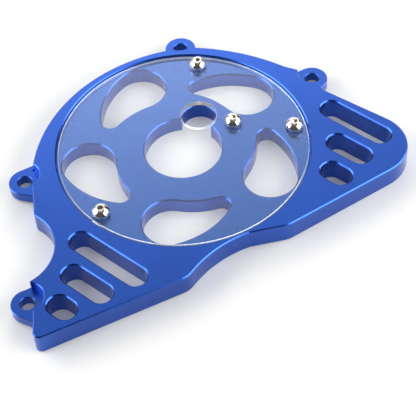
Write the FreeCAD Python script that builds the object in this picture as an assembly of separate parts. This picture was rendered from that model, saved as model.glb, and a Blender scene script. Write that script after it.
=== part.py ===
import FreeCAD, Part
import math
import os

os.makedirs("parts", exist_ok=True)
V = FreeCAD.Vector

# Plate heights, from the back face that lies against the engine
PLATE_T = 13.0
EAR_TOP = 7.2
EAR_BACK = 1.2
RIM_EDGE = 0.6
CUT_EDGE = 0.7
EAR_EDGE = 0.3

# Clear disc and the pocket that it lies in
DISC_R = 70.0
DISC_T = 3.0
DISC_RECESS = 0.5
DISC_GAP = 0.8
DISC_EDGE = 0.3
SEAT_GAP = 0.05
POCKET_R = DISC_R + DISC_GAP
DISC_TOP = PLATE_T - DISC_RECESS
DISC_LOW = DISC_TOP - DISC_T
FLOOR_Z = DISC_LOW - SEAT_GAP

# The plan below is drawn for a 70 mm disc and grows with the disc
GROW = DISC_R / 70.0


def plan(x, y):
    return V(x, y, 0) * GROW


# Keyhole in the pocket floor, and the hole in the disc over its lobe
HUB_R = 21.7 * GROW
LOBE = plan(10.0, 22.4)
LOBE_R = 10.0 * GROW
VIEW_HOLE_R = LOBE_R + 0.2

# Five comma windows, one every 72 degrees
WINDOWS = 5
STEP = 360.0 / WINDOWS
TAIL = plan(10.97, 45.71)
TAIL_R = 5.3 * GROW
HEAD = plan(38.59, 36.35)
HEAD_R = 14.95 * GROW
OUTER_R = 45.9 * GROW
INNER_R = 44.4 * GROW

# Mounting ears: the centre, the radius of the plate's notch round it, then
# where the flanks end and the side (1 is clockwise) on which each one runs
EAR_R = 8.9 * GROW
EAR_HOLE_R = 4.0
EARS = {
    "left": (plan(-88.6, -12.9), 9.0, [(plan(-81.5, 0.2), 1), (plan(-82.0, -24.3), -1)]),
    "lower_left": (plan(-85.3, -95.6), 9.2, [(plan(-80.0, -108.7), -1)]),
    "top": (plan(2.3, 82.6), 7.5, [(plan(-6.6, 72.0), -1), (plan(11.2, 72.0), 1)]),
    "right": (plan(77.2, 49.0), 8.4, [(plan(62.0, 52.0), -1), (plan(80.0, 38.0), 1)]),
}
NOTCH_ROUND = 0.8

# Slots of the two wings: start and end along the slot, row by row, in the plan
SLOT_ANGLE = -42.3
SLOT_R = 6.2 * GROW
SLOT_PITCH = 18.6
LEFT_ROW = -84.5
LEFT_SLOTS = [(-0.4, 37.8), (11.1, 30.6), (18.1, 22.7)]
RIGHT_ROW = 70.5
RIGHT_SLOTS = [(50.4, 83.4), (67.9, 83.4), (77.1, 83.4)]

# Corners of the plan, clockwise: x, y, radius of the arc to the next
# corner (0 is straight, minus is hollow), and the corner's rounding
CORNERS = [
    (8.7, 77.0, 120.4, 30.0),
    (62.0, 54.9, 0.0, 15.0),
    (72.0, 50.2, 0.0, 0.0),
    (78.8, 41.0, 0.0, 0.0),
    (82.9, 33.1, 0.0, 4.0),
    (141.3, -13.6, 0.0, 22.7),
    (52.9, -62.4, 0.0, 12.0),
    (31.6, -65.5, -65.0, 0.0),
    (-1.5, -90.8, 0.0, 12.0),
    (-81.5, -123.0, 0.0, 3.5),
    (-81.5, -98.0, 0.0, 0.0),
    (-88.0, -87.55, -25.8, 0.0),
    (-82.2, -42.05, 0.0, 3.0),
    (-84.0, -12.0, 92.7, 0.0),
]

# Button-head screws, M5 x 10, each on a small washer
SCREW_R = 2.5
SCREW_LEN = 10.0
THREAD_GAP = 0.02
SCREW_CLEAR = 0.25
BUTTON_R = 4.75
BUTTON_H = 2.75
BUTTON_LIP = 0.35
BUTTON_FLAT_R = 2.4
HEX_AF = 3.0
HEX_DEEP = 1.6
HEX_TURNS = [0, 30, 0, 30]
WASHER_R = 4.7
WASHER_T = 1.2
WASHER_LOW = DISC_TOP + SEAT_GAP
RIM_SCREW_IN = 6.6
RIM_SCREW_R = DISC_R - RIM_SCREW_IN
RIM_SCREW_ANGLE = 79.3
RIM_SCREW_STEPS = [0, 1, 3]
HUB_SCREW = plan(29.0, 15.0)

# How far cutters run past a face, and how close counts as the same place
OVER = 1.0
SAME = 1e-3


def polar(radius, degrees):
    a = math.radians(degrees)
    return V(radius * math.cos(a), radius * math.sin(a), 0)


def arc(p, q, radius):
    """Arc from p to q that bulges to the left of the way from p to q, or right if minus."""
    chord = q - p
    side = V(-chord.y, chord.x, 0).normalize()
    rise = abs(radius) - math.sqrt(radius * radius - chord.Length ** 2 / 4)
    mid = (p + q) * 0.5 + side * math.copysign(rise, radius)
    return Part.Arc(p, mid, q).toShape()


def prism(edges, bottom, top):
    face = Part.Face(Part.Wire(edges))
    face.translate(V(0, 0, bottom))
    return face.extrude(V(0, 0, top - bottom))


def drum(centre, radius, bottom, top):
    return Part.makeCylinder(radius, top - bottom, V(centre.x, centre.y, bottom))


def level_edges(shape, height):
    """Edges lying at one height."""
    found = []
    for edge in shape.Edges:
        box = edge.BoundBox
        if abs(box.ZMin - height) < SAME and abs(box.ZMax - height) < SAME:
            found.append(edge)
    return found


def upright_edges(shape, place, reach):
    """Straight upright edges within reach of a place."""
    found = []
    for edge in shape.Edges:
        start, end = edge.Vertexes[0].Point, edge.Vertexes[-1].Point
        if abs(end.z - start.z) > 1 and math.hypot(start.x - place.x, start.y - place.y) < reach:
            if math.hypot(end.x - start.x, end.y - start.y) < SAME:
                found.append(edge)
    return found


def outline_prism(bottom, top):
    edges = []
    for i, (x, y, radius, _) in enumerate(CORNERS):
        p = plan(x, y)
        after = CORNERS[(i + 1) % len(CORNERS)]
        q = plan(after[0], after[1])
        if radius:
            edges.append(arc(p, q, radius * GROW))
        else:
            edges.append(Part.LineSegment(p, q).toShape())
    body = prism(edges, bottom, top)
    for x, y, _, rounding in CORNERS:
        if rounding:
            body = body.makeFillet(rounding * GROW, upright_edges(body, plan(x, y), SAME))
    return body


def ear(centre, _, flanks):
    """Round lug with straight flanks running into the plate."""
    lug = drum(centre, EAR_R, EAR_BACK, EAR_TOP)
    for root, side in flanks:
        way = root - centre
        turn = math.degrees(math.atan2(way.y, way.x))
        open_angle = math.degrees(math.acos(EAR_R / way.Length))
        touch = centre + polar(EAR_R, turn + side * open_angle)
        corners = [centre, touch, root, centre]
        lug = lug.fuse(prism([Part.makePolygon(corners)], EAR_BACK, EAR_TOP))
    lug = lug.removeSplitter()
    rims = level_edges(lug, EAR_BACK) + level_edges(lug, EAR_TOP)
    return lug.makeChamfer(EAR_EDGE, rims)


def window():
    """Comma outline: two ends, an outer arc round both and an inner arc past both."""
    def meet(from_tail, from_head):
        line = HEAD - TAIL
        along = (from_tail ** 2 - from_head ** 2 + line.Length ** 2) / (2 * line.Length)
        off = math.sqrt(from_tail ** 2 - along ** 2)
        unit = V(line).normalize()
        return TAIL + unit * along + V(unit.y, -unit.x, 0) * off

    outer = meet(OUTER_R - TAIL_R, OUTER_R - HEAD_R)
    inner = meet(INNER_R + TAIL_R, INNER_R + HEAD_R)

    def toward(start, target, length):
        return start + (target - start).normalize() * length

    a = toward(TAIL, outer, -TAIL_R)
    b = toward(HEAD, outer, -HEAD_R)
    c = toward(HEAD, inner, HEAD_R)
    d = toward(TAIL, inner, TAIL_R)
    head_mid = HEAD + ((b + c) * 0.5 - HEAD).normalize() * HEAD_R
    if (head_mid - TAIL).Length < (HEAD - TAIL).Length:
        head_mid = HEAD * 2 - head_mid
    tail_mid = TAIL + ((a + d) * 0.5 - TAIL).normalize() * TAIL_R
    if (tail_mid - HEAD).Length < (HEAD - TAIL).Length:
        tail_mid = TAIL * 2 - tail_mid
    edges = [
        Part.Arc(a, toward(outer, (a + b) * 0.5, OUTER_R), b).toShape(),
        Part.Arc(b, head_mid, c).toShape(),
        Part.Arc(c, toward(inner, (c + d) * 0.5, INNER_R), d).toShape(),
        Part.Arc(d, tail_mid, a).toShape(),
    ]
    return prism(edges, -OVER, PLATE_T)


def slot(start, end, row):
    a = math.radians(SLOT_ANGLE)
    along = V(math.cos(a), math.sin(a), 0)
    across = V(-math.sin(a), math.cos(a), 0)
    p = (along * start + across * row) * GROW
    q = (along * end + across * row) * GROW
    side = across * SLOT_R
    edges = [
        Part.LineSegment(p + side, q + side).toShape(),
        Part.Arc(q + side, q + along * SLOT_R, q - side).toShape(),
        Part.LineSegment(q - side, p - side).toShape(),
        Part.Arc(p - side, p - along * SLOT_R, p + side).toShape(),
    ]
    return prism(edges, -OVER, PLATE_T + OVER)


def screw_places():
    places = []
    for i in RIM_SCREW_STEPS:
        places.append(polar(RIM_SCREW_R, RIM_SCREW_ANGLE - STEP * i))
    places.append(HUB_SCREW)
    return places


def notched_layer(bottom, top, rim):
    """Part of the plate's thickness with a round notch at each ear and a chamfered rim."""
    body = outline_prism(bottom, top)
    for centre, notch, _ in EARS.values():
        body = body.cut(drum(centre, notch * GROW, bottom, top))
    for centre, notch, _ in EARS.values():
        ends = upright_edges(body, centre, notch * GROW + SAME)
        body = body.makeFillet(NOTCH_ROUND, ends)
    return body.makeChamfer(RIM_EDGE, level_edges(body, rim))


def on_cut(edge, cut):
    """True if the edge lies on the cutting shape's wall."""
    point = edge.valueAt((edge.FirstParameter + edge.LastParameter) / 2)
    wall = min(face.distToShape(Part.Vertex(point))[0] for face in cut.Faces
               if face.BoundBox.ZLength > SAME)
    return wall < SAME


def cover_plate():
    body = outline_prism(EAR_BACK, EAR_TOP)
    layers = [notched_layer(0, EAR_BACK, 0), notched_layer(EAR_TOP, PLATE_T, PLATE_T)]
    body = body.fuse(layers + [ear(*e) for e in EARS.values()])
    body = body.removeSplitter()

    pocket = drum(V(0, 0, 0), POCKET_R, FLOOR_Z, PLATE_T + OVER)
    cuts = [(pocket, RIM_EDGE)]
    for centre, _, _ in EARS.values():
        cuts.append((drum(centre, EAR_HOLE_R, -OVER, EAR_TOP + OVER), EAR_EDGE))
    for row, slots in ((LEFT_ROW, LEFT_SLOTS), (RIGHT_ROW, RIGHT_SLOTS)):
        for i, (start, end) in enumerate(slots):
            cuts.append((slot(start, end, row - SLOT_PITCH * i), CUT_EDGE))
    keyhole = drum(V(0, 0, 0), HUB_R, -OVER, PLATE_T)
    keyhole = keyhole.fuse(drum(LOBE, LOBE_R, -OVER, PLATE_T))
    cuts.append((keyhole, CUT_EDGE))
    comma = window()
    for i in range(WINDOWS):
        cuts.append((comma.rotated(V(0, 0, 0), V(0, 0, 1), -STEP * i), CUT_EDGE))
    for cut, size in cuts:
        body = body.cut(cut)
        rims = []
        for height in (EAR_BACK, EAR_TOP, FLOOR_Z, PLATE_T):
            for edge in level_edges(body, height):
                if on_cut(edge, cut) and not (cut is pocket and height == FLOOR_Z):
                    rims.append(edge)
        body = body.makeChamfer(size, rims)
    for place in screw_places():
        body = body.cut(drum(place, SCREW_R + THREAD_GAP, -OVER, PLATE_T))
    return body


def clear_disc():
    disc = drum(V(0, 0, 0), DISC_R, DISC_LOW, DISC_TOP)
    disc = disc.makeChamfer(DISC_EDGE, [e for e in disc.Edges if len(e.Vertexes) == 1])
    disc = disc.cut(drum(LOBE, VIEW_HOLE_R, 0, PLATE_T))
    for place in screw_places():
        disc = disc.cut(drum(place, SCREW_R + SCREW_CLEAR, 0, PLATE_T))
    return disc


def button_screw(place, turn):
    """Shank and spherical button head with a hex socket."""
    dome_low = (BUTTON_R ** 2 + BUTTON_LIP ** 2 - BUTTON_FLAT_R ** 2 - BUTTON_H ** 2)
    dome_low = dome_low / (2 * (BUTTON_H - BUTTON_LIP))
    dome_r = math.hypot(BUTTON_R, BUTTON_LIP + dome_low)
    head = drum(V(0, 0, 0), BUTTON_R, 0, BUTTON_H)
    head = head.common(Part.makeSphere(dome_r, V(0, 0, -dome_low)))
    corners = [polar(HEX_AF / math.sqrt(3), turn + 60 * i) for i in range(7)]
    socket = prism([Part.makePolygon(corners)], BUTTON_H - HEX_DEEP, BUTTON_H + OVER)
    solid = head.fuse(drum(V(0, 0, 0), SCREW_R, -SCREW_LEN, 0)).cut(socket)
    solid.translate(V(place.x, place.y, WASHER_LOW + WASHER_T))
    return solid


def washer(place):
    ring = drum(place, WASHER_R, WASHER_LOW, WASHER_LOW + WASHER_T)
    return ring.cut(drum(place, SCREW_R + SCREW_CLEAR, DISC_TOP, PLATE_T + OVER + WASHER_T))


plate = cover_plate()
screws = [button_screw(place, turn) for place, turn in zip(screw_places(), HEX_TURNS)]
washers = [washer(place) for place in screw_places()]
nodes = {
    "cover_plate": plate,
    "clear_disc": clear_disc(),
    "button_screws": Part.makeCompound(screws),
    "screw_washers": Part.makeCompound(washers),
}
middle = plate.optimalBoundingBox().Center
for name, shape in nodes.items():
    shape.translate(V(-middle.x, -middle.y, 0))
    if not shape.isValid():
        print("CHECK", name)
    shape.exportStep("parts/%s.step" % name)
    box = shape.optimalBoundingBox()
    print("%s %.1f x %.1f x %.1f  solids %d  faces %d  volume %.1f" % (
        name, box.XLength, box.YLength, box.ZLength,
        len(shape.Solids), len(shape.Faces), shape.Volume))
print("disc axis at %.3f %.3f" % (-middle.x, -middle.y))
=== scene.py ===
import math

import bpy
from mathutils import Matrix, Vector


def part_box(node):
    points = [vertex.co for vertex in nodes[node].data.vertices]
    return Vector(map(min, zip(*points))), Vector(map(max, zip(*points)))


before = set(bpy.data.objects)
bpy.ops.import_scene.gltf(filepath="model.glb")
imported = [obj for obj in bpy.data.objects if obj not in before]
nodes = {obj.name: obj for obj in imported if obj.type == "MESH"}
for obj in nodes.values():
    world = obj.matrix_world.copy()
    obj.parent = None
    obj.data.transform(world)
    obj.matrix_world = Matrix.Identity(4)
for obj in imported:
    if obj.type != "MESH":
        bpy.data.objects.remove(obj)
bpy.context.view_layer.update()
discLow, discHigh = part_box("clear_disc")
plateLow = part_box("cover_plate")[0]
discAxis = (discLow + discHigh) / 2
discRadius = (discHigh.x - discLow.x) / 2
black = (0, 0, 0, 1)
white = (1, 1, 1, 1)
print("frame read, disc radius %.1f mm" % (discRadius * 1000))


# both angles in degrees, the azimuth turning from the camera's side to the right
def direction(azimuth, elevation):
    a, e = math.radians(azimuth), math.radians(elevation)
    return Vector((math.sin(a) * math.cos(e), -math.cos(a) * math.cos(e), math.sin(e)))


def addNode(tree, kind, at, **inputs):
    node = tree.nodes.new(kind)
    node.location = at
    for name, value in inputs.items():
        node.inputs[name].default_value = value
    return node


# a socket takes a link from another node or a plain value
def feed(tree, value, socket):
    if isinstance(value, bpy.types.NodeSocket):
        tree.links.new(value, socket)
    else:
        socket.default_value = value


def addMath(tree, at, operation, first, second):
    node = addNode(tree, "ShaderNodeMath", at)
    node.operation = operation
    feed(tree, first, node.inputs[0])
    feed(tree, second, node.inputs[1])
    return node.outputs["Value"]


def mapRange(tree, at, source, low, high, start=0.0, end=1.0):
    node = addNode(tree, "ShaderNodeMapRange", at)
    node.inputs["From Min"].default_value = start
    node.inputs["From Max"].default_value = end
    node.inputs["To Min"].default_value = low
    node.inputs["To Max"].default_value = high
    tree.links.new(source, node.inputs["Value"])
    return node.outputs["Result"]


# distance from an upright axis through x, y
def axisDistance(tree, at, where, x, y):
    shift = addNode(tree, "ShaderNodeMapping", at, Location=(-x, -y, 0), Scale=(1, 1, 0))
    length = addNode(tree, "ShaderNodeVectorMath", (at[0] + 200, at[1]))
    length.operation = "LENGTH"
    tree.links.new(where, shift.inputs["Vector"])
    tree.links.new(shift.outputs["Vector"], length.inputs[0])
    return length.outputs["Value"]


def mixColour(tree, at, mask, first, second):
    node = addNode(tree, "ShaderNodeMix", at)
    node.data_type = "RGBA"
    tree.links.new(mask, node.inputs["Factor"])
    feed(tree, first, node.inputs["A"])
    feed(tree, second, node.inputs["B"])
    return node.outputs["Result"]


# noise on object coordinates, shared by every finish: a mask from 0 to 1
def makeSpeckle():
    tree = bpy.data.node_groups.new("speckle", "ShaderNodeTree")
    for name, value in (("Scale", 100.0), ("Detail", 2.0), ("Low", 0.35), ("High", 0.65)):
        socket = tree.interface.new_socket(name, in_out="INPUT", socket_type="NodeSocketFloat")
        socket.default_value = value
    tree.interface.new_socket("Mask", in_out="OUTPUT", socket_type="NodeSocketFloat")
    start = addNode(tree, "NodeGroupInput", (-700, 0))
    where = addNode(tree, "ShaderNodeTexCoord", (-700, -200))
    noise = addNode(tree, "ShaderNodeTexNoise", (-450, 0))
    stretch = addNode(tree, "ShaderNodeMapRange", (-200, 0))
    end = addNode(tree, "NodeGroupOutput", (50, 0))
    tree.links.new(where.outputs["Object"], noise.inputs["Vector"])
    tree.links.new(start.outputs["Scale"], noise.inputs["Scale"])
    tree.links.new(start.outputs["Detail"], noise.inputs["Detail"])
    tree.links.new(noise.outputs["Fac"], stretch.inputs["Value"])
    tree.links.new(start.outputs["Low"], stretch.inputs["From Min"])
    tree.links.new(start.outputs["High"], stretch.inputs["From Max"])
    tree.links.new(stretch.outputs["Result"], end.inputs["Mask"])
    return tree


speckle = makeSpeckle()


def addSpeckle(tree, at, scale, detail=2.0, low=0.35, high=0.65):
    node = tree.nodes.new("ShaderNodeGroup")
    node.node_tree = speckle
    node.location = at
    for name, value in (("Scale", scale), ("Detail", detail), ("Low", low), ("High", high)):
        node.inputs[name].default_value = value
    return node.outputs["Mask"]


def newMaterial(name):
    material = bpy.data.materials.new(name)
    material.use_nodes = True
    tree = material.node_tree
    return material, tree, tree.nodes["Principled BSDF"]


def addBump(tree, shader, at, height, strength, distance):
    bump = addNode(tree, "ShaderNodeBump", at, Strength=strength, Distance=distance)
    tree.links.new(height, bump.inputs["Height"])
    tree.links.new(bump.outputs["Normal"], shader.inputs["Normal"])


# the surface turns clear, or tinted by a colour, where the mask is 1
def clearWhere(tree, mask, shader, colour):
    clear = addNode(tree, "ShaderNodeBsdfTransparent", (0, -900), Color=colour)
    mix = addNode(tree, "ShaderNodeMixShader", (300, 200))
    tree.links.new(mask, mix.inputs[0])
    tree.links.new(shader.outputs["BSDF"], mix.inputs[1])
    tree.links.new(clear.outputs["BSDF"], mix.inputs[2])
    tree.links.new(mix.outputs["Shader"], tree.nodes["Material Output"].inputs["Surface"])


# dyed anodised aluminium: blue metal under a thin clear oxide, with painted light on the pocket's floor
# and wall under the disc
anodised = {
    "deepBlue": (0.007, 0.073, 0.425, 1),
    "paleBlue": (0.009, 0.086, 0.490, 1),
    # painted light: a lighter, greener copy of the dye for the pocket's floor and wall under the disc,
    # making up for the light the disc takes
    "pocketPaintedLightBlue": (0.006, 0.102, 0.425, 1),  # the pocket's floor, under the disc
    "pocketMargin": 0.0004,  # past the disc's rim, metres
    "floorMargin": 0.0002,  # below the disc, metres
    "patchScale": 14.0,
    "patchDetail": 3.0,
    "grainScale": 2600.0,
    "grainStrength": 0.25,
    "grainDepth": 0.00001,
    "roughness": (0.25, 0.32),
    "oxide": 0.6,
    "oxideRoughness": 0.24,
}


def blueAnodised():
    material, tree, shader = newMaterial("blueAnodised")
    patches = addSpeckle(tree, (-900, 300), anodised["patchScale"], anodised["patchDetail"])
    grain = addSpeckle(tree, (-900, 0), anodised["grainScale"])
    where = addNode(tree, "ShaderNodeTexCoord", (-1500, 600)).outputs["Object"]
    fromAxis = axisDistance(tree, (-1300, 600), where, discAxis.x, discAxis.y)
    pocketRadius = discRadius + anodised["pocketMargin"]
    inside = addMath(tree, (-900, 600), "LESS_THAN", fromAxis, pocketRadius)
    split = addNode(tree, "ShaderNodeSeparateXYZ", (-1300, 900))
    tree.links.new(where, split.inputs["Vector"])
    pocketFloor = discLow.z - anodised["floorMargin"]
    upper = addMath(tree, (-900, 900), "GREATER_THAN", split.outputs["Z"], pocketFloor)
    # painted light: the pocket under the disc takes the lighter copy of the dye
    pocketLightMask = addMath(tree, (-700, 700), "MULTIPLY", inside, upper)
    dyeAndPocketLight = mixColour(tree, (-600, 300), patches, anodised["deepBlue"], anodised["paleBlue"])
    dyeAndPocketLight = mixColour(tree, (-400, 400), pocketLightMask, dyeAndPocketLight, anodised["pocketPaintedLightBlue"])
    tree.links.new(dyeAndPocketLight, shader.inputs["Base Color"])
    tree.links.new(mapRange(tree, (-500, 0), grain, *anodised["roughness"]), shader.inputs["Roughness"])
    shader.inputs["Metallic"].default_value = 1.0
    shader.inputs["Coat Weight"].default_value = anodised["oxide"]
    shader.inputs["Coat Roughness"].default_value = anodised["oxideRoughness"]
    addBump(tree, shader, (-300, -300), grain, anodised["grainStrength"], anodised["grainDepth"])
    return material


# clear plastic sheet: polished faces, and rough machined edges with painted light, a glow that stands
# in for the light they pipe
clearSheet = {
    "tint": (0.98, 0.99, 0.99, 1),
    "ior": 1.49,
    "roughness": (0.0, 0.02),
    "wipeScale": 90.0,  # faint wiping marks on the faces
    "wipeDetail": 4.0,
    "wipeRange": (0.5, 0.75),
    "shade": (0.91, 0.90, 0.89, 1),  # what each face leaves of the light in the disc's shadow
    "edgeRoughness": 0.25,
    "edgeWidth": 0.0004,  # metres
    # painted light: emission colours that make the rim and the hole walls glow
    "rimPaintedLight": (0.130, 0.150, 0.185, 1),
    "holePaintedLight": (0.26, 0.27, 0.28, 1),
    "holeMargin": 0.0001,
    "viewHole": (0.01, 0.0224, 0.0102),  # x and y from the disc's middle, and radius
    "screwHoleRadius": 0.00275,
    "rimScrewsIn": 0.0066,  # from the disc's rim
    "rimScrewAngles": (79.3, 7.3, -136.7),  # degrees
    "hubScrew": (0.029, 0.015),  # x and y from the disc's middle
}


def holesInDisc():
    reach = discRadius - clearSheet["rimScrewsIn"]
    holes = [clearSheet["viewHole"], (*clearSheet["hubScrew"], clearSheet["screwHoleRadius"])]
    for angle in clearSheet["rimScrewAngles"]:
        a = math.radians(angle)
        holes.append((reach * math.cos(a), reach * math.sin(a), clearSheet["screwHoleRadius"]))
    return holes


# mask of the walls of the disc's holes
def holeWalls(tree, where):
    walls = 0.0
    for row, (x, y, radius) in enumerate(holesInDisc()):
        level = -300 * row - 300
        fromHole = axisDistance(tree, (-1300, level), where, discAxis.x + x, discAxis.y + y)
        wall = addMath(tree, (-900, level), "LESS_THAN", fromHole, radius + clearSheet["holeMargin"])
        walls = addMath(tree, (-700, level), "MAXIMUM", walls, wall)
    return walls


def clearPlastic():
    material, tree, shader = newMaterial("clearPlastic")
    where = addNode(tree, "ShaderNodeTexCoord", (-1500, 0)).outputs["Object"]
    fromAxis = axisDistance(tree, (-1300, 0), where, discAxis.x, discAxis.y)
    rim = addMath(tree, (-900, 0), "GREATER_THAN", fromAxis, discRadius - clearSheet["edgeWidth"])
    hole = holeWalls(tree, where)
    edge = addMath(tree, (-600, 0), "MAXIMUM", rim, hole)
    wipe = addSpeckle(
        tree, (-900, 300), clearSheet["wipeScale"], clearSheet["wipeDetail"], *clearSheet["wipeRange"])
    face = mapRange(tree, (-650, 300), wipe, *clearSheet["roughness"])
    blend = addNode(tree, "ShaderNodeMix", (-400, 100), B=clearSheet["edgeRoughness"])
    tree.links.new(edge, blend.inputs["Factor"])
    tree.links.new(face, blend.inputs["A"])
    tree.links.new(blend.outputs["Result"], shader.inputs["Roughness"])
    # painted light: the rim and the hole walls emit a pale colour
    paintedEdgeLight = mixColour(tree, (-400, -200), rim, black, clearSheet["rimPaintedLight"])
    paintedEdgeLight = mixColour(tree, (-200, -200), hole, paintedEdgeLight, clearSheet["holePaintedLight"])
    tree.links.new(paintedEdgeLight, shader.inputs["Emission Color"])
    shader.inputs["Emission Strength"].default_value = 1.0
    shader.inputs["Base Color"].default_value = clearSheet["tint"]
    shader.inputs["IOR"].default_value = clearSheet["ior"]
    shader.inputs["Transmission Weight"].default_value = 1.0
    path = addNode(tree, "ShaderNodeLightPath", (0, 400))
    clearWhere(tree, path.outputs["Is Shadow Ray"], shader, clearSheet["shade"])
    return material


# polished stainless steel of the fasteners
steel = {
    "base": (0.80, 0.76, 0.69, 1),
    "screwRoughness": (0.07, 0.14),
    "washerRoughness": (0.30, 0.40),
    "scratchScale": 900.0,
    "scratchDetail": 3.0,
    "scratchStrength": 0.2,
    "scratchDepth": 0.000004,
}


def stainless(name, roughness):
    material, tree, shader = newMaterial(name)
    marks = addSpeckle(tree, (-700, 0), steel["scratchScale"], steel["scratchDetail"])
    tree.links.new(mapRange(tree, (-450, 0), marks, *roughness), shader.inputs["Roughness"])
    shader.inputs["Base Color"].default_value = steel["base"]
    shader.inputs["Metallic"].default_value = 1.0
    addBump(tree, shader, (-300, -300), marks, steel["scratchStrength"], steel["scratchDepth"])
    return material


def paint(name, material):
    slots = nodes[name].data.materials
    slots.clear()
    slots.append(material)


paint("cover_plate", blueAnodised())
paint("clear_disc", clearPlastic())
paint("button_screws", stainless("polishedSteel", steel["screwRoughness"]))
paint("screw_washers", stainless("satinSteel", steel["washerRoughness"]))
print("finishes made")

# white sweep: it keeps the soft shadow, fades to plain white far out and is clear from below
sweep = {
    "size": 6.0,
    "gap": 0.0002,  # under the plate
    "colour": (0.70, 0.70, 0.69, 1),
    "roughness": 0.8,
    "specular": 0.2,
    "lift": (0.10, 1.0),  # glow close by and far out
    "fade": (0.35, 1.4),  # distances between which the glow grows
}


def makeFloor():
    bpy.ops.mesh.primitive_plane_add(size=sweep["size"], location=(0, 0, plateLow.z - sweep["gap"]))
    floor = bpy.context.object
    floor.name = "floor"
    material, tree, shader = newMaterial("whiteSweep")
    shader.inputs["Base Color"].default_value = sweep["colour"]
    shader.inputs["Roughness"].default_value = sweep["roughness"]
    shader.inputs["Specular IOR Level"].default_value = sweep["specular"]
    rays = addNode(tree, "ShaderNodeLightPath", (-700, -300)).outputs
    seen = addMath(tree, (-500, -300), "MAXIMUM", rays["Is Camera Ray"], rays["Is Glossy Ray"])
    seen = addMath(tree, (-350, -300), "MAXIMUM", seen, rays["Is Transmission Ray"])
    where = addNode(tree, "ShaderNodeTexCoord", (-1100, -600)).outputs["Object"]
    fromMiddle = axisDistance(tree, (-900, -600), where, 0.0, 0.0)
    lift = mapRange(tree, (-500, -600), fromMiddle, *sweep["lift"], *sweep["fade"])
    lift = addMath(tree, (-200, -300), "MULTIPLY", seen, lift)
    tree.links.new(lift, shader.inputs["Emission Strength"])
    shader.inputs["Emission Color"].default_value = white
    side = addNode(tree, "ShaderNodeNewGeometry", (0, 400))
    clearWhere(tree, side.outputs["Backfacing"], shader, white)
    floor.data.materials.append(material)


makeFloor()

# two soft boxes, one at each side of the object
softBoxes = {
    "azimuths": {"rightBox": 76, "leftBox": -99},  # degrees
    "widths": {"rightBox": 1.10, "leftBox": 1.02},
    "height": 0.62,
    "elevation": 28,  # degrees
    "distance": 0.85,  # from the middle of the plate
    "radiance": 5.0,  # 1 is white
}


def makeSoftBox(name):
    width, height = softBoxes["widths"][name], softBoxes["height"]
    way = direction(softBoxes["azimuths"][name], softBoxes["elevation"])
    data = bpy.data.lights.new(name, "AREA")
    data.shape = "RECTANGLE"
    data.size, data.size_y = width, height
    data.energy = softBoxes["radiance"] * math.pi * width * height
    lamp = bpy.data.objects.new(name, data)
    lamp.location = way * softBoxes["distance"]
    lamp.rotation_euler = way.to_track_quat("Z", "Y").to_euler()
    lamp.visible_camera = False
    bpy.context.scene.collection.objects.link(lamp)


for name in softBoxes["azimuths"]:
    makeSoftBox(name)

# the room: dim all round, a soft bright wall behind the object, some light from above and below
room = {
    "fill": 0.09,
    "wallAzimuth": 184,
    "wallElevation": 25,
    "wallPower": 15.0,  # a higher power makes the bright patch narrower
    "wallRadiance": 4.0,
    "ceilingPower": 12.0,
    "ceilingRadiance": 0.8,
    "belowRadiance": 0.7,
    "belowStart": -0.3,  # height of the direction from which the light below is full
    "backdrop": 1.0,  # what the camera sees past the floor
}


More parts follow.
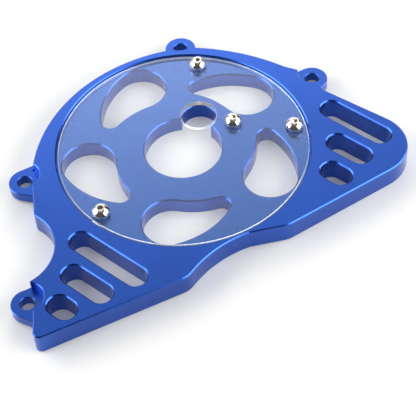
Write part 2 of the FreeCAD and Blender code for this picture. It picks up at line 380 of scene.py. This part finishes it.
def makeWorld():
    world = bpy.data.worlds.new("room")
    bpy.context.scene.world = world
    world.use_nodes = True
    tree = world.node_tree
    back = tree.nodes["Background"]
    way = addNode(tree, "ShaderNodeTexCoord", (-1100, 0)).outputs["Generated"]
    toward = addNode(tree, "ShaderNodeVectorMath", (-900, 0))
    toward.operation = "DOT_PRODUCT"
    toward.inputs[1].default_value = direction(room["wallAzimuth"], room["wallElevation"])
    tree.links.new(way, toward.inputs[0])
    front = addMath(tree, (-720, 0), "MAXIMUM", toward.outputs["Value"], 0.0)
    spread = addMath(tree, (-560, 0), "POWER", front, room["wallPower"])
    wall = mapRange(tree, (-400, 0), spread, room["fill"], room["fill"] + room["wallRadiance"])
    split = addNode(tree, "ShaderNodeSeparateXYZ", (-900, -300))
    tree.links.new(way, split.inputs["Vector"])
    up = addMath(tree, (-720, -300), "MAXIMUM", split.outputs["Z"], 0.0)
    zenith = addMath(tree, (-560, -300), "POWER", up, room["ceilingPower"])
    ceiling = addMath(tree, (-400, -300), "MULTIPLY", zenith, room["ceilingRadiance"])
    below = mapRange(
        tree, (-560, -600), split.outputs["Z"], room["belowRadiance"], 0.0, room["belowStart"], 0.0)
    light = addMath(tree, (-200, -300), "ADD", wall, ceiling)
    light = addMath(tree, (-100, -400), "ADD", light, below)
    path = addNode(tree, "ShaderNodeLightPath", (-400, 300))
    seen = addNode(tree, "ShaderNodeMix", (-200, 0), B=room["backdrop"])
    back.inputs["Color"].default_value = white
    tree.links.new(path.outputs["Is Camera Ray"], seen.inputs["Factor"])
    tree.links.new(light, seen.inputs["A"])
    tree.links.new(seen.outputs["Result"], back.inputs["Strength"])


makeWorld()
print("floor, lamps and room ready")

# camera where the photograph was taken, aimed past the disc
view = {
    "fromDisc": (0.01103, -0.50897, 0.56315),  # from the middle of the disc's upper face
    "elevation": 50.60,  # degrees
    "roll": -4.607,
    "lens": 118.25,
    "sensor": 36,
    "clip": (0.05, 20),
}


def makeCamera():
    e, r = math.radians(view["elevation"]), math.radians(view["roll"])
    ahead = Vector((0, math.cos(e), -math.sin(e)))
    above = Vector((0, math.sin(e), math.cos(e)))
    across = Vector((1, 0, 0)) * math.cos(r) + above * math.sin(r)
    top = across.cross(ahead)
    data = bpy.data.cameras.new("camera")
    data.sensor_width = view["sensor"]
    data.lens = view["lens"]
    data.clip_start, data.clip_end = view["clip"]
    camera = bpy.data.objects.new("camera", data)
    turn = Matrix((across, top, -ahead)).transposed().to_4x4()
    start = Vector((discAxis.x, discAxis.y, discHigh.z)) + Vector(view["fromDisc"])
    camera.matrix_world = Matrix.Translation(start) @ turn
    bpy.context.scene.collection.objects.link(camera)
    bpy.context.scene.camera = camera


makeCamera()
bpy.context.scene.view_settings.view_transform = "Standard"
print("camera placed")

print("scene done")
